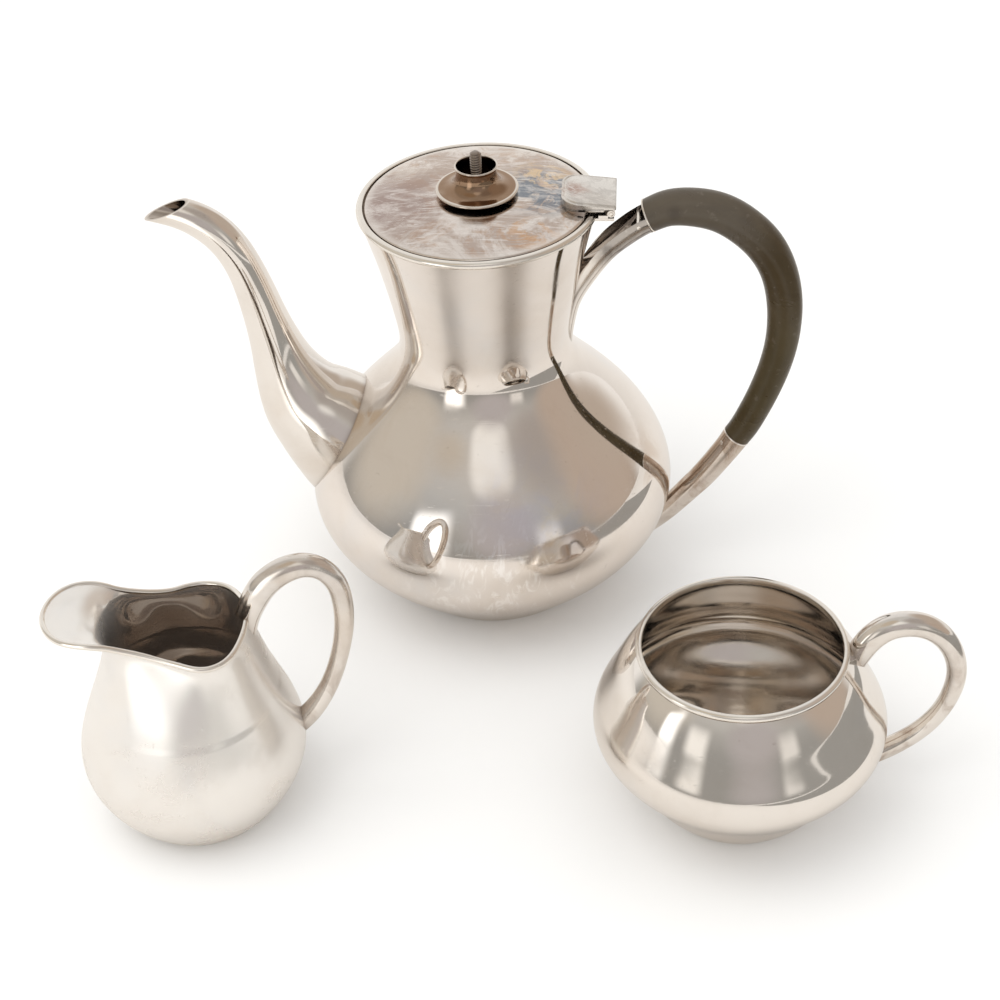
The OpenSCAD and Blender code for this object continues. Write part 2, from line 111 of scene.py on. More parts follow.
# ---------------------------------------------------------------- meshes
def turn_z(deg):
    return Matrix.Rotation(math.radians(deg), 4, "Z")


POT = Matrix.Identity(4)
JUG = Matrix.Translation((-112, -150.5, 0)) @ turn_z(10)
BOWL = Matrix.Translation((105.5, -145.5, 0)) @ turn_z(5)


def build(name, verts, faces, place, material, body, nodes, crease=35, inside=None, seam=None):
    mesh = bpy.data.meshes.new(name)
    m = np.array(place)
    v = np.array(verts, float) @ m[:3, :3].T + m[:3, 3]
    mesh.from_pydata((v * MM).tolist(), [], [tuple(int(k) for k in f) for f in faces])
    for key, values in (("inside", inside), ("seam", seam)):
        if values is not None:
            layer = mesh.attributes.new(key, "FLOAT", "POINT")
            layer.data.foreach_set("value", np.array(values, np.float32))
    mesh.validate()
    mesh.update()
    mesh.polygons.foreach_set("use_smooth", [True] * len(mesh.polygons))
    mesh.set_sharp_from_angle(angle=math.radians(crease))
    obj = bpy.data.objects.new(name, mesh)
    bpy.context.scene.collection.objects.link(obj)
    mesh.materials.append(material)
    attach(obj, body)
    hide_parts(*nodes)
    return obj


def band(a, b, n):
    """Faces between two closed rows of n points that start at a and at b."""
    return [(a + k, a + (k + 1) % n, b + (k + 1) % n, b + k) for k in range(n)]


def grid_faces(rows, cols, start=0, flip=False):
    out = []
    for i in range(rows - 1):
        out += band(start + i * cols, start + (i + 1) * cols, cols)
    return [f[::-1] for f in out] if flip else out


def circle(r, n, z):
    turns = [2 * math.pi * k / n for k in range(n)]
    return [(r * math.cos(t), r * math.sin(t), z) for t in turns]


def lathe(profile, segs=192, closed=True):
    """Turns [radius, height] points into a solid; the points run anticlockwise."""
    verts, rows = [], []
    for r, z in profile:
        count = 1 if r < 1e-6 else segs
        rows.append((len(verts), count))
        verts += circle(float(r), count, float(z)) if count > 1 else [(0, 0, z)]
    faces = []
    for i in range(len(rows) if closed else len(rows) - 1):
        (a, na), (b, nb) = rows[i], rows[(i + 1) % len(rows)]
        if na > 1 and nb > 1:
            faces += band(a, b, segs)
        elif nb > 1:
            faces += [(a, b + (k + 1) % segs, b + k) for k in range(segs)]
        elif na > 1:
            faces += [(a + k, a + (k + 1) % segs, b) for k in range(segs)]
    return verts, faces


def arc(cx, cz, r, a0, a1, n):
    angles = [math.radians(a0 + (a1 - a0) * k / n) for k in range(n + 1)]
    return [(cx + r * math.cos(a), cz + r * math.sin(a)) for a in angles]


def tube_lines(stations, sides, rows, keep=None, shrink=0.0, rounds=60):
    """Points of a round tube along [x, z, radius] stations, with each long line trimmed by keep."""
    s = even(fair(even(smooth(stations, 24), 400), rounds), 400)
    d = unit(np.gradient(s[:, :2], axis=0))
    a = np.arange(sides) * 2 * math.pi / sides
    r = (s[:, 2] - shrink)[:, None]
    grid = np.stack(
        [
            s[:, 0][:, None] + r * np.cos(a) * d[:, 1][:, None],
            r * np.sin(a) + 0 * s[:, 0][:, None],
            s[:, 1][:, None] - r * np.cos(a) * d[:, 0][:, None],
        ],
        axis=2,
    )
    count = len(grid)

    def point(j, f):
        i = np.clip(np.floor(f).astype(int), 0, count - 2)
        w = (f - i)[:, None]
        return grid[i, j] * (1 - w) + grid[i + 1, j] * w

    def cross(j, bad, good):
        """Where line j passes from a dropped point to a kept one."""
        for _ in range(18):
            m = (bad + good) / 2
            if keep(point(j, np.array([m])))[0]:
                good = m
            else:
                bad = m
        return good

    out = np.zeros((rows, sides, 3))
    for j in range(sides):
        lo, hi = 0.0, count - 1.0
        if keep is not None:
            k = keep(grid[:, j])
            half = count // 2
            bad = np.nonzero(~k[:half])[0]
            if len(bad):
                lo = cross(j, float(bad[-1]), float(bad[-1] + 1))
            bad = np.nonzero(~k[half:])[0]
            if len(bad):
                hi = cross(j, float(half + bad[0]), float(half + bad[0] - 1))
        out[:, j] = point(j, np.linspace(lo, hi, rows))
    return out


def tube(lines):
    """A solid tube with its ends closed to a middle point."""
    rows, sides = lines.shape[:2]
    verts = lines.reshape(-1, 3).tolist()
    faces = grid_faces(rows, sides)
    for row in (0, rows - 1):
        c = len(verts)
        verts.append(lines[row].mean(0).tolist())
        for j in range(sides):
            a, b = row * sides + j, row * sides + (j + 1) % sides
            faces.append((a, b, c) if row else (b, a, c))
    return verts, faces


def round_plate(outline, z0, z1, bevel, lift=None, rings=None, square_from=1e9):
    """A flat plate with softened edges; lift(x) raises its upper half."""
    o = np.array(outline, float)
    t = unit(np.roll(o, -1, axis=0) - np.roll(o, 1, axis=0))
    inward = np.stack([-t[:, 1], t[:, 0]], axis=1)
    inward[o[:, 0] > square_from, 0] *= 0.1
    rings = rings or [
        (bevel, z0), (0.3 * bevel, z0 + 0.3 * bevel), (0, z0 + bevel), (0, z1 - bevel),
        (0.3 * bevel, z1 - 0.3 * bevel), (bevel, z1)
    ]
    verts, n = [], len(o)
    for d, z in rings:
        for q in o + inward * d:
            verts.append((q[0], q[1], z + (lift(q[0]) if lift and z > (z0 + z1) / 2 else 0)))
    faces = grid_faces(len(rings), n)
    faces += [tuple(range(n - 1, -1, -1)), tuple(range((len(rings) - 1) * n, len(rings) * n))]
    return verts, faces


def block(x0, x1, y0, y1, z0, z1, bevel):
    return round_plate([(x0, y0), (x1, y0), (x1, y1), (x0, y1)], z0, z1, bevel)


def cylinder(r, length, bevel=0.15, segs=48, dome=0.0):
    prof = [(0, 0), (r - bevel, 0), (r, bevel), (r, length - bevel), (r - bevel, length)]
    if dome:
        prof = [
            (0, -dome), (0.5 * r, -0.8 * dome), (r - bevel, -0.2 * dome), (r, bevel), (r, length - bevel),
            (r - bevel, length + 0.2 * dome), (0.5 * r, length + 0.8 * dome), (0, length + dome)
        ]
        return lathe(prof, segs, closed=False)
    return lathe(prof + [(0, length)], segs, closed=False)


def merge(*parts):
    verts, faces = [], []
    for v, f in parts:
        k = len(verts)
        verts += [tuple(q) for q in v]
        faces += [tuple(i + k for i in q) for q in f]
    return verts, faces


def placed(part, matrix):
    m = np.array(matrix)
    v = np.array(part[0], float) @ m[:3, :3].T + m[:3, 3]
    return v.tolist(), part[1]


def radius_at(line):
    return lambda z: np.interp(z, line[:, 1], line[:, 0])


def outside(radius, top, depth=0.25):
    """Keeps the points of a tube outside a vessel, and all of them above its top."""
    def test(p):
        d = np.hypot(p[:, 0], p[:, 1])
        return (d > radius(p[:, 2]) - depth) | (p[:, 2] > top)

    return test


def seam_of(lines, low=2.2, high=0.0):
    """1 at the soldered ends of a tube, fading out along it; low and high are the widths in mm."""
    out = np.zeros(lines.shape[:2])
    for end, width in ((0, low), (-1, high)):
        if width:
            out = np.maximum(out, np.exp(-np.linalg.norm(lines - lines[end], axis=2) / width))
    return out.ravel()


def soldered(name, lines, place, material, body, node, low=2.2, high=0.0):
    """A solid tube with dark seams at its ends."""
    v, f = tube(lines)
    seam = np.append(seam_of(lines, low, high), [0, 0])
    build(name, v, f, place, material, body, [node], seam=seam)


# ---------------------------------------------------------------- materials
class Nodes:
    """Small helper that wires the nodes of one node tree."""

    def __init__(self, tree):
        self.tree = tree

    def add(self, kind, **values):
        n = self.tree.nodes.new(kind)
        for k, v in values.items():
            setattr(n, k, v)
        return n

    def link(self, a, b):
        self.tree.links.new(a, b)

    def feed(self, sock, value):
        """Sets a socket to a number or a colour, or links it."""
        if isinstance(value, (int, float)):
            sock.default_value = value
        elif isinstance(value, tuple):
            sock.default_value = (*value, 1)
        else:
            self.link(value, sock)

    def span(self, value, lo, hi, to_lo=0.0, to_hi=1.0):
        n = self.add("ShaderNodeMapRange", interpolation_type="SMOOTHSTEP")
        n.inputs["From Min"].default_value = lo
        n.inputs["From Max"].default_value = hi
        n.inputs["To Min"].default_value = to_lo
        n.inputs["To Max"].default_value = to_hi
        self.link(value, n.inputs["Value"])
        return n.outputs["Result"]

    def math(self, op, a, b=0.0):
        n = self.add("ShaderNodeMath", operation=op)
        self.feed(n.inputs[0], a)
        self.feed(n.inputs[1], b)
        return n.outputs[0]

    def times(self, a, b):
        return self.math("MULTIPLY", a, b)

    def vector(self, op, source, value):
        n = self.add("ShaderNodeVectorMath", operation=op)
        self.link(source, n.inputs[0])
        n.inputs[1].default_value = value
        return n.outputs["Vector" if op == "SUBTRACT" else "Value"]

    def split(self, source):
        n = self.add("ShaderNodeSeparateXYZ")
        self.link(source, n.inputs[0])
        return n.outputs

    def mix(self, factor, a, b):
        n = self.add("ShaderNodeMix", data_type="RGBA")
        for sock, v in ((n.inputs[0], factor), (n.inputs[6], a), (n.inputs[7], b)):
            self.feed(sock, v)
        return n.outputs[2]


class Graph(Nodes):
    """The nodes of one metal or wood, laid out in the row's frame."""

    def __init__(self, name):
        self.mat = bpy.data.materials.new(name)
        self.mat.use_nodes = True
        super().__init__(self.mat.node_tree)
        self.shader = self.tree.nodes["Principled BSDF"]
        self.coord = self.add("ShaderNodeTexCoord").outputs["Object"]

    def mapped(self, scale=(1, 1, 1), rot=(0, 0, 0), shift=(0, 0, 0)):
        n = self.add("ShaderNodeMapping")
        n.inputs["Location"].default_value = shift
        n.inputs["Rotation"].default_value = rot
        n.inputs["Scale"].default_value = scale
        self.link(self.coord, n.inputs["Vector"])
        return n.outputs["Vector"]

    def noise(self, scale, detail=4, rough=0.55, warp=0.0, source=None):
        n = self.add("ShaderNodeTexNoise")
        n.inputs["Scale"].default_value = scale
        n.inputs["Detail"].default_value = detail
        n.inputs["Roughness"].default_value = rough
        n.inputs["Distortion"].default_value = warp
        self.link(source or self.coord, n.inputs["Vector"])
        return n.outputs["Fac"]

    def near(self, centre, lo, hi):
        """1 close to a point in the row's frame (mm), fading to 0."""
        far = self.vector("DISTANCE", self.coord, [c * MM for c in centre])
        return self.span(far, lo * MM, hi * MM, 1, 0)

    def attr(self, name):
        return self.add("ShaderNodeAttribute", attribute_name=name).outputs["Fac"]

    def lines(self, angle, seed, density, width):
        """Thin scratches that run one way and wander."""
        v = self.mapped(
            scale=(9, density, density), rot=(0.3 * seed, 0.2, math.radians(angle)),
            shift=(seed, seed * 2, 0)
        )
        return self.span(self.noise(1.0, 2, 0.5, 0.6, v), width, width + 0.03)

    def bump(self, height, strength, distance, normal=None):
        n = self.add("ShaderNodeBump")
        n.inputs["Strength"].default_value = strength
        n.inputs["Distance"].default_value = distance
        self.link(height, n.inputs["Height"])
        if normal is not None:
            self.link(normal, n.inputs["Normal"])
        return n.outputs["Normal"]

    def set(self, name, value):
        self.feed(self.shader.inputs[name], value)


def silver(
    name, base=(0.86, 0.815, 0.765), warm=(0.70, 0.60, 0.50), cool=(0.74, 0.76, 0.79), tarnish=0.35,
    rough=0.07, haze=0.14, scratches=0.5, seed=0.0, extra=None, inner=((0.50, 0.45, 0.40), 0.6), clear=0.0,
    metal=1.0
):
    """Plated silver: clear reflections under smudges, haze, hairline scratches and a little tarnish."""
    g = Graph(name)
    v = g.mapped(shift=(seed, seed * 0.7, seed * 1.3))
    smudge = g.span(g.noise(16, 6, 0.6, 0.5, v), 0.42, 0.7)
    patch = g.span(g.noise(34, 5, 0.65, 0.8, v), 0.45, 0.75)
    blue = g.span(g.noise(22, 4, 0.5, 0.3, g.mapped(shift=(seed + 5, 3, 1))), 0.52, 0.74)
    speck = g.span(g.noise(260, 3, 0.6, 0, v), 0.68, 0.76)
    color = g.mix(g.times(smudge, tarnish), base, warm)
    color = g.mix(g.times(blue, 0.35), color, cool)
    color = g.mix(g.times(patch, tarnish * 0.4), color, tuple(0.8 * c for c in warm))
    color = g.mix(g.times(speck, 0.18), color, tuple(0.5 * c for c in warm))
    line = g.math("MAXIMUM", g.lines(20, seed + 1, 900, 0.70), g.lines(-55, seed + 2, 1100, 0.71))
    line = g.math("MAXIMUM", line, g.lines(80, seed + 3, 800, 0.71))
    if extra:
        color = extra(g, color, v)
    within = g.times(g.attr("inside"), g.math("ADD", g.times(smudge, 0.4), 0.6))
    color = g.mix(g.times(within, inner[1]), color, inner[0])
    joint = g.times(g.attr("seam"), g.math("ADD", g.times(patch, 0.4), 0.6))
    color = g.mix(joint, color, (0.17, 0.11, 0.07))
    r = g.math("ADD", g.times(smudge, haze), rough)
    r = g.math("ADD", r, g.times(patch, haze * 0.5))
    r = g.math("ADD", r, g.times(line, 0.22 * scratches))
    r = g.times(r, g.math("SUBTRACT", 1.0, g.times(g.attr("inside"), clear)))
    wave = g.noise(9, 2, 0.5, 0.2, v)
    dent = g.noise(60, 2, 0.5, 0, v)
    n = g.bump(wave, 0.35, 0.0012)
    n = g.bump(dent, 0.12, 0.0003, n)
    n = g.bump(line, 0.12 * scratches, 0.00005, n)
    g.set("Base Color", color)
    g.set("Metallic", metal)
    g.set("Roughness", r)
    g.set("Normal", n)
    return g.mat


def pot_marks(g, color, v):
    """Cloudy wipe marks and a bluish cast low on the front of the belly."""
    wipe = g.span(g.noise(1, 7, 0.62, 1.5, g.mapped(scale=(150, 26, 70), rot=(0.5, 0.7, 0.9))), 0.50, 0.64)
    low = g.near((6, -78, 44), 14, 52)
    color = g.mix(g.times(g.times(low, wipe), 0.75), color, (0.99, 0.96, 0.93))
    cast = g.near((26, -62, 78), 8, 38)
    cloud = g.span(g.noise(40, 6, 0.6, 1.0, v), 0.40, 0.60)
    color = g.mix(g.times(g.times(cast, cloud), 0.45), color, (0.72, 0.73, 0.84))
    stain = g.near((70, -22, 74), 5, 22)
    return g.mix(g.times(g.times(stain, cloud), 0.55), color, (0.62, 0.50, 0.40))


def lid_tarnish(g, color, v):
    brown = g.span(g.noise(24, 9, 0.7, 1.8, v), 0.43, 0.56)
    streak = g.span(g.noise(1, 8, 0.72, 1.4, g.mapped(scale=(34, 85, 40), rot=(0, 0, 0.5))), 0.47, 0.60)
    rust = g.span(g.noise(48, 8, 0.72, 2.0, g.mapped(shift=(3, 1, 2))), 0.50, 0.62)
    color = g.mix(g.times(brown, 0.62), color, (0.40, 0.29, 0.23))
    color = g.mix(g.times(rust, 0.42), color, (0.50, 0.31, 0.19))
    left = g.near((-36, -4, 192), 8, 36)
    color = g.mix(g.times(left, 0.62), color, (0.34, 0.25, 0.24))
    right = g.near((27, 3, 193), 8, 25)
    steel = g.span(g.noise(60, 8, 0.66, 1.6, v), 0.43, 0.51)
    color = g.mix(g.times(g.times(right, steel), 0.9), color, (0.19, 0.225, 0.27))
    gold = g.near((26, 16, 193), 3, 17)
    fleck = g.span(g.noise(95, 7, 0.65, 1.2, g.mapped(shift=(9, 4, 2))), 0.48, 0.56)
    color = g.mix(g.times(g.times(gold, fleck), 0.85), color, (0.78, 0.58, 0.36))
    front = g.near((29, -26, 192), 5, 24)
    color = g.mix(g.times(g.times(front, rust), 0.75), color, (0.66, 0.40, 0.22))
    color = g.mix(g.times(streak, 0.48), color, (0.90, 0.85, 0.81))
    hair = g.math("MAXIMUM", g.lines(35, 21, 1300, 0.66), g.lines(-25, 22, 1500, 0.665))
    color = g.mix(g.times(hair, 0.55), color, (0.95, 0.92, 0.89))
    rim = g.near((0, 0, 192), 42.0, 45.6)
    return g.mix(g.times(g.math("SUBTRACT", 1.0, rim), 0.6), color, (0.84, 0.79, 0.74))


def leaf_tarnish(g, color, v):
    mottle = g.span(g.noise(110, 8, 0.7, 1.2, v), 0.42, 0.60)
    color = g.mix(g.times(mottle, 0.5), color, (0.50, 0.47, 0.44))
    stain = g.near((39, -1, 196), 2, 9)
    brown = g.span(g.noise(90, 7, 0.7, 2.0, g.mapped(shift=(2, 5, 1))), 0.40, 0.58)
    color = g.mix(g.times(g.times(stain, brown), 0.8), color, (0.46, 0.31, 0.26))
    ring = g.span(g.noise(1, 6, 0.7, 2.5, g.mapped(scale=(120, 240, 60))), 0.50, 0.60)
    return g.mix(g.times(g.times(stain, ring), 0.6), color, (0.86, 0.82, 0.80))


def cup_tarnish(g, color, v):
    brown = g.span(g.noise(90, 6, 0.6, 1.0, v), 0.35, 0.62)
    color = g.mix(g.math("ADD", g.times(brown, 0.6), 0.2), color, (0.30, 0.19, 0.12))
    z = g.split(g.coord)["Z"]
    rim = g.math(
        "MAXIMUM", g.span(z, 0.2063, 0.2066),
        g.math("SUBTRACT", 1.0, g.near((0, 0, 196.5), 15.6, 16.0))
    )
    return g.mix(g.times(rim, 0.85), color, (0.84, 0.78, 0.71))


def socket_tarnish(g, color, v):
    streak = g.span(g.noise(1, 7, 0.65, 0.8, g.mapped(scale=(40, 160, 40), rot=(0, -0.7, 0))), 0.40, 0.58)
    top = g.near((60, -3, 180), 9, 24)
    color = g.mix(
        g.times(top, g.math("ADD", g.times(streak, 0.45), 0.5)), color,
        (0.11, 0.095, 0.09)
    )
    fleck = g.span(g.noise(210, 6, 0.7, 1.0, v), 0.56, 0.66)
    color = g.mix(g.times(g.times(top, fleck), 0.7), color, (0.60, 0.56, 0.52))
    low = g.near((96, 0, 54), 18, 46)
    stain = g.math("ADD", g.times(streak, 0.6), 0.3)
    return g.mix(g.times(low, stain), color, (0.40, 0.29, 0.21))


def handle_tarnish(g, color, v):
    streak = g.span(g.noise(1, 6, 0.65, 1.0, g.mapped(scale=(60, 140, 40))), 0.45, 0.66)
    z = g.split(g.coord)["Z"]
    down = g.span(z, 0.02, 0.085, 1, 0.25)
    return g.mix(g.times(g.times(down, streak), 0.75), color, (0.40, 0.30, 0.23))


def grip_material():
    g = Graph("DarkSatinWood")
    v = g.mapped()
    grain = g.noise(1, 6, 0.6, 0.7, g.mapped(scale=(30, 260, 30), rot=(0, 0.5, 0)))
    cloud = g.span(g.noise(28, 6, 0.62, 0.6, v), 0.36, 0.66)
    fleck = g.span(g.noise(300, 4, 0.6, 0.2, v), 0.60, 0.70)
    color = g.mix(cloud, (0.046, 0.030, 0.012), (0.068, 0.049, 0.024))
    color = g.mix(g.times(g.span(grain, 0.45, 0.65), 0.35), color, (0.026, 0.016, 0.006))
    # painted highlight: the top of the grip is painted a lighter grey, standing in for the satin sheen it
    # catches from above
    top = g.near((86, -6, 190), 18, 46)
    color = g.mix(g.times(top, 0.45), color, (0.115, 0.10, 0.085))
    knot = g.near((80, -7, 188), 0.5, 4.5)
    color = g.mix(g.times(knot, 0.5), color, (0.045, 0.033, 0.026))
    low = g.near((122, -3, 105), 10, 46)
    color = g.mix(g.times(low, 0.5), color, (0.060, 0.044, 0.016))
    color = g.mix(g.times(fleck, 0.22), color, (0.20, 0.17, 0.14))
    g.set("Base Color", color)
    g.set("Roughness", g.math("ADD", g.times(cloud, 0.10), 0.24))
    g.set("Specular IOR Level", 0.32)
    n = g.bump(grain, 0.12, 0.00025)
    n = g.bump(g.noise(500, 3, 0.6, 0, v), 0.10, 0.0001, n)
    g.set("Normal", n)
    return g.mat


pot_silver = silver(
    "PotSilver", seed=0.0, base=(0.85, 0.795, 0.745), rough=0.03, haze=0.09, tarnish=0.34, scratches=0.8,
    extra=pot_marks
)
spout_silver = silver(
    "SpoutSilver", seed=2.0, rough=0.05, haze=0.11, tarnish=0.4, inner=((0.30, 0.24, 0.19), 0.8)
)
wire_silver = silver(
    "WireSilver", seed=4.0, base=(0.90, 0.86, 0.80), rough=0.12, haze=0.12, tarnish=0.25, scratches=0.3
)
ledge_silver = silver(
    "LedgeTarnish", seed=5.0, base=(0.16, 0.12, 0.09), warm=(0.10, 0.07, 0.05), cool=(0.12, 0.11, 0.10),
    rough=0.4, haze=0.2
)
lid_silver = silver(
    "LidTarnish", seed=6.0, base=(0.76, 0.70, 0.65), rough=0.1, haze=0.2, tarnish=0.5, scratches=0.9,
    extra=lid_tarnish
)
cup_silver = silver(
    "CupTarnish", seed=8.0, base=(0.36, 0.245, 0.165), rough=0.09, haze=0.12, tarnish=0.6,
    extra=cup_tarnish, inner=((0.035, 0.03, 0.03), 1.3)
)
leaf_silver = silver(
    "LeafTarnish", seed=9.0, base=(0.78, 0.75, 0.71), rough=0.2, haze=0.2, tarnish=0.4, scratches=1.0,
    extra=leaf_tarnish
)
screw_metal = silver(
    "ScrewMetal", seed=10.0, base=(0.30, 0.255, 0.22), warm=(0.24, 0.18, 0.14), rough=0.28, haze=0.2,
    tarnish=0.8
)
hinge_silver = silver("HingeSilver", seed=11.0, rough=0.15, haze=0.15, tarnish=0.6)
socket_silver = silver("SocketTarnish", seed=12.0, rough=0.08, haze=0.15, tarnish=0.5, extra=socket_tarnish)
jug_silver = silver(
    "JugSilver", seed=14.0, base=(0.88, 0.85, 0.81), rough=0.2, haze=0.14, tarnish=0.3, scratches=0.15,
    inner=((0.46, 0.37, 0.30), 0.9), clear=0.75, metal=0.78
)
bowl_silver = silver(
    "BowlSilver", seed=16.0, rough=0.05, haze=0.09, tarnish=0.32, inner=((0.76, 0.72, 0.675), 0.75)
)
loop_silver = silver("LoopSilver", seed=18.0, rough=0.08, haze=0.12, tarnish=0.5, extra=handle_tarnish)
grip_wood = grip_material()

# ---------------------------------------------------------------- coffee pot
# the three outlines: radius and height, from the foot up
pot_outline = [
    (45.7, FOOT), (49.2, 6), (55.2, 12), (63.2, 20), (70.3, 28), (77, 38), (80.3, 48), (79.8, 58), (76.4, 68),
    (70.8, 78), (63.3, 88), (54.2, 98), (46.4, 106), (40.6, 113), (37, 119.5), (35.9, 126), (36.6, 133),
    (40, 152), (44.5, 172), (49, 187.8)
]
jug_outline = [
    (31.4, FOOT), (36.3, 8.5), (41.2, 17), (44.2, 24), (45.3, 31), (44.6, 38), (42.6, 45), (40.3, 51),
    (37.7, 58)
]
bowl_outline = [
    (31.5, FOOT), (37.1, 9.3), (43.7, 19.4), (48.9, 26.5), (53.9, 33), (57, 39), (57.5, 44), (56.1, 49.5),
    (53.6, 54.5), (50.9, 60), (47, 68), (42.9, 74.5), (40.4, 77.4)
]


def outline(points, n, rounds):
    return even(fair(even(smooth(points, 24), 600), rounds), n)


pot_line = outline(pot_outline, 220, 500)
bowl_line = outline(bowl_outline, 150, 400)


def inner(line, low):
    p = offset(line, WALL)
    return p[p[:, 1] > low + 0.6]


def vessel_profile(line, low=FOOT + WALL):
    """Closed sheet profile: outside up, inside down, floor with a soft corner."""
    ins = inner(line, low)[::-1]
    r, z = ins[-1]
    corner = [(r - 0.4, low + 0.25), (r - 1.3, low)]
    floor = [(k, low) for k in np.linspace(r - 2, 0, 14)]
    under = [(k, FOOT) for k in np.linspace(0, line[0][0] - 0.6, 12)]
    return [tuple(p) for p in line] + [tuple(p) for p in ins] + corner + floor + under


def within(verts, line):
    """1 on the inner skin of a vessel, 0 on the outer one."""
    p = np.array(verts, float)
    r = np.hypot(p[:, 0], p[:, 1])
    return ((r < np.interp(p[:, 2], line[:, 1], line[:, 0]) - 0.7) & (p[:, 2] > FOOT + 0.5)).astype(float)


v, f = lathe(vessel_profile(pot_line), 224)
build("PotBody", v, f, POT, pot_silver, "pot", ["pot_body"], inside=within(v, pot_line))


def foot_profile(r):
    bead = arc(r - 2.75, 0.5, 0.5, -90, -10, 4)
    step = [(r - 1.5, 0.95), (r - 0.8, 1.7), (r - 0.3, FOOT), (r - 4.2, FOOT)]
    return [(r - 4.6, 0.25), (r - 4.3, 0)] + bead + step


v, f = lathe(foot_profile(45.7))
build("PotFootRing", v, f, POT, wire_silver, "pot", ["pot_foot_ring"])


def wire_profile(outer_r, w, h, low):
    """Half-round wire with a fine step below it."""
    cx, cz = outer_r - h / 2, low + h / 2
    pts = [(outer_r - w, low)] + arc(cx, cz, h / 2, -78, 78, 16)
    pts += [(cx - 0.1, low + h)] + arc(outer_r - w + 0.45, low + h - 0.45, 0.45, 90, 180, 5)
    return pts


v, f = lathe(wire_profile(50, 2.8, 3, 187.8), 256)
build("PotMouthWire", v, f, POT, wire_silver, "pot", ["pot_mouth_wire"])

v, f = lathe([(45.2, 188), (47.2, 188), (47.2, 189.4), (45.2, 189.4)], 160)
build("LidLedge", v, f, POT, ledge_silver, "pot", ["lid_seat"])

pot_radius = radius_at(pot_line)

# spout, built along +X and turned round to -X
spout_stations = [
    (50, 56, 26), (60.5, 69.5, 28.3), (72, 82, 24.6), (80.3, 92, 20.4), (84.9, 101.3, 16.7), (88.4, 112, 13.4),
    (91, 123, 11), (93.7, 135, 9.4), (96.6, 148, 8.4), (99.4, 158, 7.8), (103, 167, 7.6), (108.5, 175.5, 7.5),
    (116, 182, 7.2), (125, 186.2, 6.5), (138, 189, 5.6)
]
cut_low, cut_high = np.array([135.6, 184.8]), np.array([114.5, 193.0])


def below_cut(p):
    e = cut_high - cut_low
    return e[0] * (p[:, 2] - cut_low[1]) - e[1] * (p[:, 0] - cut_low[0]) > 0


def spout_keep(p):
    return outside(pot_radius, 300)(p) & below_cut(p)


outer = tube_lines(spout_stations, 72, 220, spout_keep, rounds=90)
bore = tube_lines(spout_stations, 72, 220, spout_keep, shrink=WALL, rounds=90)
rows, sides = outer.shape[:2]
verts = outer.reshape(-1, 3).tolist() + bore.reshape(-1, 3).tolist()
faces = grid_faces(rows, sides) + grid_faces(rows, sides, rows * sides, flip=True)
faces += band((rows - 1) * sides, (2 * rows - 1) * sides, sides) + band(rows * sides, 0, sides)
seam = np.concatenate([seam_of(outer, 0.9), np.zeros(rows * sides)])
hollow = np.concatenate([np.zeros(rows * sides), np.ones(rows * sides)])
place = turn_z(180)
build("Spout", verts, faces, place, spout_silver, "pot", ["spout"], inside=hollow, seam=seam)

# ---------------------------------------------------------------- lid
EDGE = 190.7
THICK = 1.2
LID_R = 46.6
RISE = 4


def dome(r):
    return RISE * (1 - (r / LID_R) ** 2)


top = [(r, EDGE + dome(r)) for r in np.linspace(0, 45.9, 60)[::-1]]
prof = [(46.1, EDGE - THICK), (46.4, EDGE - THICK + 0.3), (46.4, EDGE - 0.35), (46.15, EDGE - 0.05)] + top
prof += [(r, EDGE - THICK + dome(r)) for r in np.linspace(0, 45.9, 30)]
v, f = lathe(prof, 224)
build("LidPlate", v, f, POT, lid_silver, "lid", ["lid_plate"])

v, f = lathe([(43.2, 181.2), (43.7, 181), (44.2, 181.2), (44.2, 189.8), (43.2, 189.9)], 160)
build("LidBezel", v, f, POT, wire_silver, "lid", ["lid_bezel"])

LOW = EDGE + RISE
cup = [(0, LOW - 0.05), (5, LOW - 0.05), (5.6, LOW + 1.0), (15.6, LOW + 1.35)]
cup += arc(16.45, LOW + 1.85, 0.5, -100, 80, 10)
cup += [(16.1, LOW + 2.45)]
flare = smooth(
    [
        (15.9, LOW + 2.45), (13.2, LOW + 2.8), (10.8, LOW + 3.9), (9.2, LOW + 5.8), (8.5, LOW + 8.2),
        (8.45, LOW + 10.4), (8.75, LOW + 11.9)
    ],
    8
)
cup += [tuple(p) for p in flare] + arc(8.47, LOW + 12.0, 0.4, 0, 180, 8)
cup += [(7.85, LOW + 11.2), (7.6, LOW + 9.8), (7.4, LOW + 5), (7.1, LOW + 4.2), (6.4, LOW + 3.8), (0, LOW + 3.8)]
v, f = lathe(cup, 144, closed=False)
p = np.array(v)
hollow = (np.hypot(p[:, 0], p[:, 1]) < 7.95) & (p[:, 2] > LOW + 3.7)
build(
    "KnobCup", v, f, POT, cup_silver, "lid", ["knob_cup"], crease=30,
    inside=hollow.astype(float)
)

# stud with a cut thread
pitch, steps, segs = 1.1, 12, 48
rows_z = np.arange(198.6, 212.55, pitch / steps)
verts = []
for z in rows_z:
    for k in range(segs):
        phase = (z / pitch - k / segs) % 1.0
        tooth = 1 - abs(2 * phase - 1)
        r = 2.0 + 0.4 * min(1.0, max(0.0, tooth * 1.5 - 0.2)) - max(0.0, z - 212.0) * 0.7
        verts.append((r * math.cos(2 * math.pi * k / segs), r * math.sin(2 * math.pi * k / segs), z))
faces = grid_faces(len(rows_z), segs)
last = (len(rows_z) - 1) * segs
verts += circle(1.2, segs, 212.95)
faces += grid_faces(2, segs, last)
faces.append(tuple(range(last + segs, last + 2 * segs)))
faces.append(tuple(range(segs - 1, -1, -1)))
shank = placed(cylinder(2.0, 11.6, 0.3), Matrix.Translation((0, 0, 187)))
v, f = merge((verts, faces), shank)
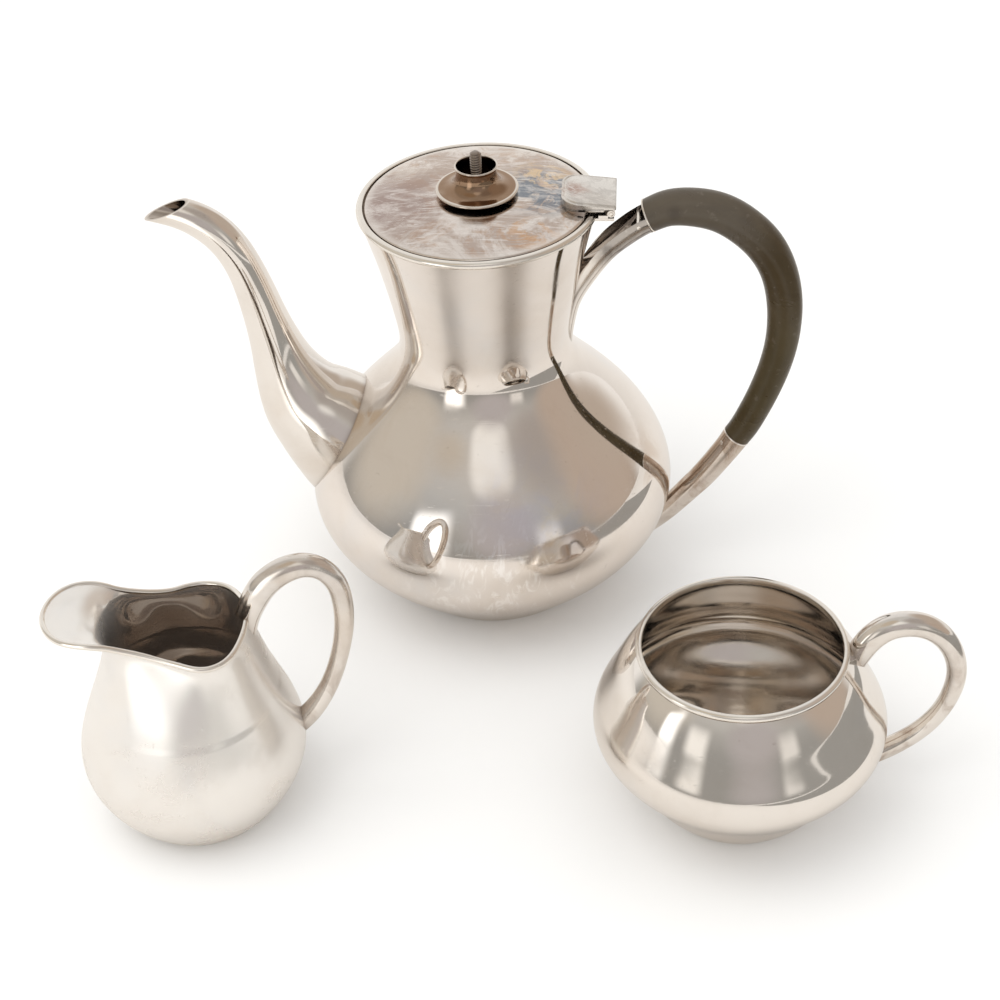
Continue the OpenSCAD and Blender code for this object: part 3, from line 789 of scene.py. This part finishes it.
build("KnobStud", v, f, POT, screw_metal, "lid", ["knob_stud"], crease=50)

washer_top = EDGE - THICK + dome(6.5) - 0.02
edge = [(6.2, washer_top - 0.8), (6.5, washer_top - 0.5), (6.5, washer_top - 0.2), (6.2, washer_top)]
v, f = lathe([(2.05, washer_top - 0.8)] + edge + [(2.05, washer_top)], 96)
build("StudWasher", v, f, POT, hinge_silver, "lid", ["stud_washer"])
hexagon = [q[:2] for q in circle(4.6, 6, 0)]
v, f = round_plate(hexagon, washer_top - 3.6, washer_top - 0.8, 0.35)
build("StudNut", v, f, POT, hinge_silver, "lid", ["stud_nut"], crease=20)

# ---------------------------------------------------------------- hinge
PIV = (54.5, 190.9)
HALF = 12.5
KNUCKLE = 6.0
BARREL = 5.85


def leaf_outline(back, front=34.4, r=7.0):
    corners = arc(front + r, HALF - r, r, 90, 180, 15) + arc(front + r, r - HALF, r, 180, 270, 15)
    return [(back, -HALF + 0.6), (back, HALF - 0.6), (back - 0.6, HALF)] + corners + [(back - 0.6, -HALF)]


def on_pivot(y):
    return Matrix.Translation((PIV[0], y, PIV[1])) @ Matrix.Rotation(math.radians(-90), 4, "X")


def leaf_lift(x):
    return (56.6 - x) * 0.1135


def leaf_rings(z0, z1):
    """A rounded lower moulding, a shallow groove and a raised field."""
    return [
        (0.15, z0), (0, z0 + 0.15), (0, z1 - 0.6), (0.15, z1 - 0.42), (0.5, z1 - 0.3), (0.95, z1 - 0.35),
        (1.2, z1 - 0.45), (1.45, z1 - 0.3), (1.7, z1 - 0.08), (2.0, z1)
    ]


field = round_plate(leaf_outline(56.55), 192.7, 193.95, 0.3, leaf_lift, leaf_rings(192.7, 193.95), 55)
under_part = round_plate(leaf_outline(52.15), 191.75, 193.4, 0.3)
pad = round_plate(leaf_outline(44.8), 190.9, 192.9, 0.1)
barrel = placed(cylinder(1.65, 2 * BARREL, 0.15), on_pivot(-BARREL))
web = block(53.3, 55.7, -BARREL, BARREL, 190.9, 193.0, 0.05)
v, f = merge(field, under_part, pad, barrel, web)
build("LidHingeLeaf", v, f, POT, leaf_silver, "lid", ["lid_hinge_leaf"], crease=25)

plate = [(55.7, -HALF), (55.7, HALF)]
plate += [(math.sqrt(49.3**2 - y * y), y) for y in np.linspace(HALF, -HALF, 21)]
parts = [round_plate(plate, 187.8, 189.0, 0.15)]
for y0 in (-HALF, KNUCKLE):
    y1 = y0 + HALF - KNUCKLE
    parts.append(placed(cylinder(1.65, y1 - y0, 0.2), on_pivot(y0)))
    parts.append(block(53.3, 55.7, y0 + 0.05, y1 - 0.05, 188.6, 190.9, 0.05))
    parts.append(block(49.4, 55.65, y0 + 0.05, y1 - 0.05, 188.2, 190.25, 0.2))
v, f = merge(*parts)
build("PotHingeLeaf", v, f, POT, hinge_silver, "pot", ["pot_hinge_leaf"], crease=25)

v, f = placed(cylinder(1.0, 2 * HALF + 0.5, 0.2, dome=0.1), on_pivot(-HALF - 0.25))
build("HingePin", v, f, POT, wire_silver, "pot", ["hinge_pin"])

# ---------------------------------------------------------------- handle of the pot
UP, UP_A = (69.2, 182.9), 24.0
DOWN, DOWN_A = (108.5, 71.3), -120.5
FER = 0.8


def along(p, angle, far, r):
    a = math.radians(angle)
    return (p[0] + far * math.cos(a), p[1] + far * math.sin(a), r)


upper_stations = [
    (34.2, 119, 2.6), (34.6, 131, 3.9), (36.6, 143.5, 5), (42, 155.5, 6), (50.6, 168.4, 6.6),
    (59.6, 176.8, 6.9), along(UP, UP_A, -3, 7.05), along(UP, UP_A, 0, 7.05)
]
grip_stations = [
    along(UP, UP_A, FER, 7.05), along(UP, UP_A, 9, 7.45), (86.9, 186.9, 7.85), (97.7, 184.6, 8.1),
    (107.4, 178.8, 8.2), (116.9, 169.2, 8.1), (123.4, 156.6, 7.7), (126.6, 141.2, 7.5), (126.6, 124.5, 7.1),
    (124, 109.3, 6.8), (119, 93.5, 6.5), along(DOWN, DOWN_A, -8, 6.3), along(DOWN, DOWN_A, -FER, 6.1)
]
lower_stations = [
    along(DOWN, DOWN_A, 0, 6.1), along(DOWN, DOWN_A, 8, 5.8), (95.6, 51.2, 5.6), (87, 40.6, 5.3),
    (78.2, 30.4, 5), (69, 22, 4.8), (58, 15, 4.6)
]

on_pot = outside(pot_radius, 300)
lines = tube_lines(upper_stations, 56, 110, on_pot, rounds=40)
soldered("UpperSocket", lines, POT, socket_silver, "pot", "upper_socket")
lines = tube_lines(lower_stations, 56, 110, on_pot, rounds=40)
soldered("LowerSocket", lines, POT, socket_silver, "pot", "lower_socket", 0.0, 2.2)
v, f = tube(tube_lines(grip_stations, 72, 200, rounds=60))
build("HandleGrip", v, f, POT, grip_wood, "pot", ["handle_grip"])


def at_ferrule(p, angle):
    return Matrix.Translation((p[0], 0, p[1])) @ Matrix.Rotation(math.radians(90 - angle), 4, "Y")


def ferrule(r):
    edge = arc(r - 0.25, 0.25, 0.25, -90, 0, 3) + arc(r - 0.25, FER - 0.25, 0.25, 0, 90, 3)
    return lathe([(r - 1.5, 0)] + edge + [(r - 1.5, FER)], 72)


v, f = placed(ferrule(7.2), at_ferrule(UP, UP_A))
build("UpperFerrule", v, f, POT, wire_silver, "pot", ["upper_ferrule"])
v, f = placed(ferrule(6.3), at_ferrule(DOWN, DOWN_A) @ Matrix.Translation((0, 0, -FER)))
build("LowerFerrule", v, f, POT, wire_silver, "pot", ["lower_ferrule"])


def rivet(p, angle, far, turn, reach):
    """A pin across a socket: far along its axis, turned about it, reaching out both ways."""
    m = at_ferrule(p, angle) @ Matrix.Translation((0, 0, far)) @ turn_z(turn)
    m = m @ Matrix.Rotation(math.radians(90), 4, "Y") @ Matrix.Translation((0, 0, -reach))
    return placed(cylinder(0.9, 2 * reach, 0.1, 24, dome=0.15), m)


v, f = rivet(UP, UP_A, -4, 90, 7.1)
build("UpperRivet", v, f, POT, wire_silver, "pot", ["upper_rivet"])
v, f = rivet(DOWN, DOWN_A, 4.5, -33, 6.05)
build("LowerRivet", v, f, POT, wire_silver, "pot", ["lower_rivet"])

# ---------------------------------------------------------------- milk jug
# one half of each loop, from the tip of the lip (-X) to the handle
rim_half = [
    (-49, 0, 102.2), (-43.6, 14, 102.2), (-32, 19, 101.8), (-19.5, 18, 97.8), (-4, 20.5, 92.5),
    (9.5, 26, 89.5), (21, 22, 90), (27.5, 9.5, 93), (29, 0, 95)
]
throat_half = [
    (-27, 0, 96), (-26, 9, 96), (-22, 15, 95.2), (-15, 18, 93.4), (-3, 20.5, 89), (10, 26, 86),
    (21.5, 22, 86.5), (28, 9.5, 88.5), (29.5, 0, 90)
]
bearing_half = [180, 160, 140, 120, 96, 70, 46, 21, 0]
flat_half = [1, 1, 0.9, 0.5, 0.15, 0, 0, 0, 0]
STEP = 10


def mirrored(points):
    return [(x, -y, z) for x, y, z in points] + points[7:0:-1]


rim = fair_loop(smooth_loop(mirrored(rim_half), STEP), 24)
throat = fair_loop(smooth_loop(mirrored(throat_half), STEP), 30)
bear = [math.radians(b) for b in [-b for b in bearing_half] + bearing_half[7:0:-1]]
around = unit(smooth_loop([(math.cos(b), math.sin(b)) for b in bear], STEP))
flat = np.clip(smooth_loop([(f,) for f in flat_half + flat_half[7:0:-1]], STEP), 0, 1)
flat = fair_loop(flat, 40)


def ring_at(r, z):
    return np.concatenate([around * r, np.full((len(around), 1), z)], axis=1)


start = ring_at(*jug_outline[-1])
rise = unit(np.concatenate([-0.36 * around, np.ones((len(around), 1))], axis=1))
fold = unit(rim - start)
flat_dir = unit((rim - throat) * np.array([1, 1, 0]) + np.array([0, 0, 0.01]))
out_dir = flat * flat_dir + (1 - flat) * np.array([0, 0, 1.0])


def cubic(a, u, b, w, t):
    """From a along u to b along w."""
    s = 1 - t
    return a * (1 + 2 * t) * s**2 + u * t * s**2 + b * t * t * (3 - 2 * t) - w * t * t * s


far1 = np.linalg.norm(throat - start, axis=1)[:, None]
far2 = np.linalg.norm(rim - throat, axis=1)[:, None]
lower = outline(jug_outline, 60, 250)
rings = [ring_at(r, z) for r, z in lower]
rings += [cubic(start, rise * far1, throat, fold * far1 * 0.8, t) for t in np.arange(1, 25) / 24]
rings += [cubic(throat, fold * far2 * 0.8, rim, out_dir * far2, t) for t in np.arange(1, 19) / 18]
skin = fair(np.array(rings), 60)
skin[60:-1] = fair_loop(skin[60:-1], 10, axis=1)

# the inner skin, one wall in along the normals
up = np.gradient(skin, axis=0)
rnd = np.roll(skin, -1, axis=1) - np.roll(skin, 1, axis=1)
inside = skin - WALL * unit(np.cross(rnd, up))
low_z = FOOT + WALL
inside = inside[np.nonzero(inside[:, 0, 2] > low_z + 0.5)[0][0]:]
n = skin.shape[1]
base_in = skin.shape[0] * n
verts = skin.reshape(-1, 3).tolist() + inside.reshape(-1, 3).tolist()
faces = grid_faces(len(skin), n) + grid_faces(len(inside), n, base_in, flip=True)
faces += band(base_in - n, len(verts) - n, n)

# floor inside, then the underside
r_in = float(np.hypot(*inside[0, 0, :2]))
row = base_in
corner = [(r_in - 0.5, low_z + 0.2), (r_in - 1.4, low_z)]
for r, z in corner + [(r, low_z) for r in np.linspace(r_in - 3, 1, 10)]:
    new = len(verts)
    verts += ring_at(r, z).tolist()
    faces += band(row, new, n)
    row = new
faces.append(tuple(range(row, row + n)))
deep = np.clip((np.array(verts[base_in:])[:, 0] + 27) / 7, 0, 1)
hollow = [0.0] * base_in + deep.tolist() + [0.0] * n
row = len(verts)
verts += ring_at(30.8, FOOT).tolist()
faces += band(row, 0, n)
faces.append(tuple(range(row + n - 1, row - 1, -1)))
build("JugBody", verts, faces, JUG, jug_silver, "jug", ["jug_body"], inside=hollow)

# the wire follows the middle of the lip
edge = (skin[-1] + inside[-1]) / 2
d = unit(np.roll(edge, -1, axis=0) - np.roll(edge, 1, axis=0))
out = unit(np.cross(d, [0, 0, 1.0]))
above = np.cross(out, d)
sides = 20
a = (np.arange(sides) * 2 * math.pi / sides)[None, :, None]
wire = edge[:, None] + 1.12 * np.cos(a) * out[:, None] + 1.22 * np.sin(a) * above[:, None]
verts = wire.reshape(-1, 3).tolist()
faces = []
for i in range(n):
    faces += [(p, s, r, q) for p, q, r, s in band(i * sides, (i + 1) % n * sides, sides)]
build("JugRimWire", verts, faces, JUG, wire_silver, "jug", ["jug_rim_wire"])

v, f = lathe(foot_profile(31.4), 144)
build("JugFootRing", v, f, JUG, wire_silver, "jug", ["jug_foot_ring"])

jug_handle = [
    (25.5, 82, 4.8), (28.3, 93, 5), (34.4, 105, 5.4), (39.8, 110.6, 5.3), (45.6, 114, 5.1), (52.3, 115.1, 4.7),
    (58.8, 112.2, 4.3), (63.6, 104.6, 4.1), (65.2, 94, 4), (64.6, 82, 3.8), (62.2, 70, 3.6), (58.6, 58.4, 3.6),
    (54, 48.4, 3.8), (47.6, 39, 4.2), (39, 31, 4.6)
]
jug_back = np.concatenate([lower, [[33.2, 74], [29.6, 88], [29.2, 93], [29.2, 95.4]]])
lines = tube_lines(jug_handle, 56, 200, outside(radius_at(jug_back), 95.2, 0.6))
soldered("JugHandle", lines, JUG, loop_silver, "jug", "jug_handle", 3.0, 2.4)

# ---------------------------------------------------------------- sugar bowl
v, f = lathe(vessel_profile(bowl_line), 208)
build("BowlBody", v, f, BOWL, bowl_silver, "bowl", ["bowl_body"], inside=within(v, bowl_line))
v, f = lathe(wire_profile(40.85, 2.4, 2.7, 77.4), 224)
build("BowlRimWire", v, f, BOWL, wire_silver, "bowl", ["bowl_rim_wire"])
v, f = lathe(foot_profile(31.5), 144)
build("BowlFootRing", v, f, BOWL, wire_silver, "bowl", ["bowl_foot_ring"])
bowl_handle = [
    (40, 60, 4.6), (44, 70, 4.9), (48.8, 79, 5.1), (54.8, 84.5, 5.1), (61.8, 86.1, 5), (69, 84.7, 4.8),
    (75.6, 80, 4.5), (80.8, 72.2, 4.1), (83.7, 62.5, 3.9), (83.6, 52.5, 3.8), (80.3, 41.2, 3.6),
    (74.2, 31.4, 3.7), (65, 23.2, 3.9), (54, 17, 4.2), (43, 12.4, 4.4), (36, 10, 4.4)
]
bowl_side = np.concatenate([bowl_line, [[40.4, 80]]])
lines = tube_lines(bowl_handle, 56, 200, outside(radius_at(bowl_side), 80, 0.6))
soldered("BowlHandle", lines, BOWL, loop_silver, "bowl", "bowl_handle", 3.0, 2.4)


# ---------------------------------------------------------------- stage
def sheet(name, corners, material):
    mesh = bpy.data.meshes.new(name)
    mesh.from_pydata(corners, [], [(0, 1, 2, 3)])
    mesh.materials.append(material)
    obj = bpy.data.objects.new(name, mesh)
    bpy.context.scene.collection.objects.link(obj)
    return obj


def card(name, corners, color, strength):
    """A glowing sheet that only the silver sees; returns its nodes, its glow and its output."""
    material = bpy.data.materials.new(name)
    material.use_nodes = True
    nodes = Nodes(material.node_tree)
    nodes.tree.nodes.clear()
    glow = nodes.add("ShaderNodeEmission")
    glow.inputs["Color"].default_value = (*color, 1)
    glow.inputs["Strength"].default_value = strength
    surface = nodes.add("ShaderNodeOutputMaterial").inputs["Surface"]
    nodes.link(glow.outputs[0], surface)
    obj = sheet(name, corners, material)
    obj.visible_camera = False
    obj.visible_diffuse = False
    obj.visible_shadow = False
    return nodes, glow.outputs[0], surface


# white paper, a little dimmer where the silver reflects it
paper = bpy.data.materials.new("FloorPaper")
paper.use_nodes = True
nodes = Nodes(paper.node_tree)
shader = paper.node_tree.nodes["Principled BSDF"]
shader.inputs["Roughness"].default_value = 0.9
shader.inputs["Specular IOR Level"].default_value = 0.1
ray = nodes.add("ShaderNodeLightPath").outputs["Is Glossy Ray"]
nodes.link(nodes.mix(ray, (0.93, 0.93, 0.925), (0.80, 0.775, 0.745)), shader.inputs["Base Color"])
sheet("Floor", [(-30, -30, 0), (30, -30, 0), (30, 30, 0), (-30, 30, 0)], paper)

# the edge of the white paper on the right, seen only in the silver
card(
    "RoomRight", [(0.33, -2.0, 0.0005), (6, -2.0, 0.0005), (6, 0.12, 0.0005), (0.33, 0.12, 0.0005)],
    (0.36, 0.35, 0.33), 1.0
)

# a small soft light in front of the jug, with faded edges
PANEL = Vector((-0.22, -0.32, 0.15))
PANEL_HALF = 0.12
corners = [
    PANEL + Vector((x * PANEL_HALF, 0, z * PANEL_HALF)) for x, z in ((-1, -1), (1, -1), (1, 1), (-1, 1))
]
nodes, glow, surface = card("SoftPanel", corners, (1.0, 0.985, 0.96), 1.7)
offsets = nodes.split(nodes.vector("SUBTRACT", nodes.add("ShaderNodeTexCoord").outputs["Object"], PANEL))
across, upright = (nodes.span(nodes.math("ABSOLUTE", offsets[k]), 0.05, PANEL_HALF, 1, 0) for k in "XZ")
fade = nodes.add("ShaderNodeMixShader")
nodes.link(nodes.times(across, upright), fade.inputs[0])
nodes.link(nodes.add("ShaderNodeBsdfTransparent").outputs[0], fade.inputs[1])
nodes.link(glow, fade.inputs[2])
nodes.link(fade.outputs[0], surface)

# the room as the silver sees it; other rays see an even white
world = bpy.data.worlds.new("Studio")
bpy.context.scene.world = world
world.use_nodes = True
sky = Nodes(world.node_tree)
sky.tree.nodes.clear()
ray_direction = sky.add("ShaderNodeTexCoord").outputs["Generated"]
axes = sky.split(ray_direction)


def toward(az, el):
    """How closely a ray points to an azimuth, from -Y towards +X, and an elevation."""
    a, e = math.radians(az), math.radians(el)
    aim = (math.sin(a) * math.cos(e), -math.cos(a) * math.cos(e), math.sin(e))
    return sky.vector("DOT_PRODUCT", ray_direction, aim)


def strip(az, half, low, high):
    """A tall soft strip of light; 1 inside it, 0 elsewhere."""
    a = math.radians(az)
    aside = sky.math("ABSOLUTE", sky.vector("DOT_PRODUCT", ray_direction, (math.cos(a), math.sin(a), 0)))
    across = sky.span(aside, half * 0.5, half * 1.4, 1, 0)
    ahead = sky.span(toward(az, 0), 0.2, 0.5)
    above = sky.span(axes["Z"], low - 0.04, low + 0.04)
    below = sky.span(axes["Z"], high - 0.16, high + 0.1, 1, 0)
    return sky.times(sky.times(across, ahead), sky.times(above, below))


room = sky.mix(sky.span(axes["Z"], 0.05, 0.85), (0.36, 0.35, 0.33), (0.62, 0.60, 0.57))
# soft patches: azimuth, elevation, where they start and are full, colour
for az, el, start, full, color in (
    (5, 52, 0.955, 0.985, (0.95, 0.93, 0.89)),
    (10, 22, 0.88, 0.99, (0.50, 0.465, 0.46)),
    (-85, 30, 0.80, 0.98, (0.62, 0.57, 0.50)),
    (62, 52, 0.84, 0.99, (0.42, 0.38, 0.35)),
    (-48, 62, 0.92, 0.985, (0.58, 0.50, 0.40)),
    (92, 22, 0.80, 0.96, (0.52, 0.43, 0.36)),
):
    room = sky.mix(sky.span(toward(az, el), start, full), room, color)
room = sky.mix(strip(-38, 0.15, 0.06, 0.42), room, (1.05, 1.02, 0.97))
room = sky.mix(strip(38, 0.13, 0.06, 0.36), room, (0.84, 0.81, 0.77))
sweep = sky.mix(sky.span(axes["Z"], 0.0, 0.9), (0.97, 0.95, 0.92), (0.82, 0.80, 0.78))
seen = sky.mix(sky.span(axes["Y"], 0.25, 0.5, 1, 0), sweep, room)
seen = sky.mix(sky.span(toward(126, 35), 0.80, 0.96), seen, (0.52, 0.44, 0.37))
ray = sky.add("ShaderNodeLightPath").outputs["Is Glossy Ray"]
background = sky.add("ShaderNodeBackground")
sky.link(sky.mix(ray, (1.08, 1.075, 1.065), seen), background.inputs["Color"])
background.inputs["Strength"].default_value = 1.0
sky.link(background.outputs[0], sky.add("ShaderNodeOutputWorld").inputs["Surface"])

light = bpy.data.lights.new("SoftBox", "AREA")
light.shape = "RECTANGLE"
light.size, light.size_y = 0.9, 0.7
light.energy = 3.2
light.color = (1.0, 0.985, 0.96)
lamp = bpy.data.objects.new("SoftBox", light)
bpy.context.scene.collection.objects.link(lamp)
lamp.location = (-0.45, -0.35, 1.1)
lamp.rotation_euler = (Vector((0, -0.05, 0.05)) - lamp.location).to_track_quat("-Z", "Y").to_euler()
lamp.visible_glossy = False

# ---------------------------------------------------------------- camera
LENS = 72.99
DISTANCE = 0.92349
TARGET = Vector((0.002795, 0, 0.034772))
PITCH, ROLL = math.radians(38.166), math.radians(-2.950)
YAW = 5

back = Vector((0, -math.cos(PITCH), math.sin(PITCH)))
right = Vector((1, 0, 0))
above = back.cross(right)
sideways = right * math.cos(ROLL) + above * math.sin(ROLL)
upwards = above * math.cos(ROLL) - right * math.sin(ROLL)
view = Matrix((sideways, upwards, back)).transposed().to_4x4()
view.translation = TARGET + back * DISTANCE

cam_data = bpy.data.cameras.new("Camera")
cam_data.sensor_width = 36
cam_data.lens = LENS
cam_data.clip_start = 0.01
cam = bpy.data.objects.new("Camera", cam_data)
cam.matrix_world = turn_z(YAW) @ view
bpy.context.scene.collection.objects.link(cam)
bpy.context.scene.camera = cam
bpy.context.scene.view_settings.view_transform = "Standard"
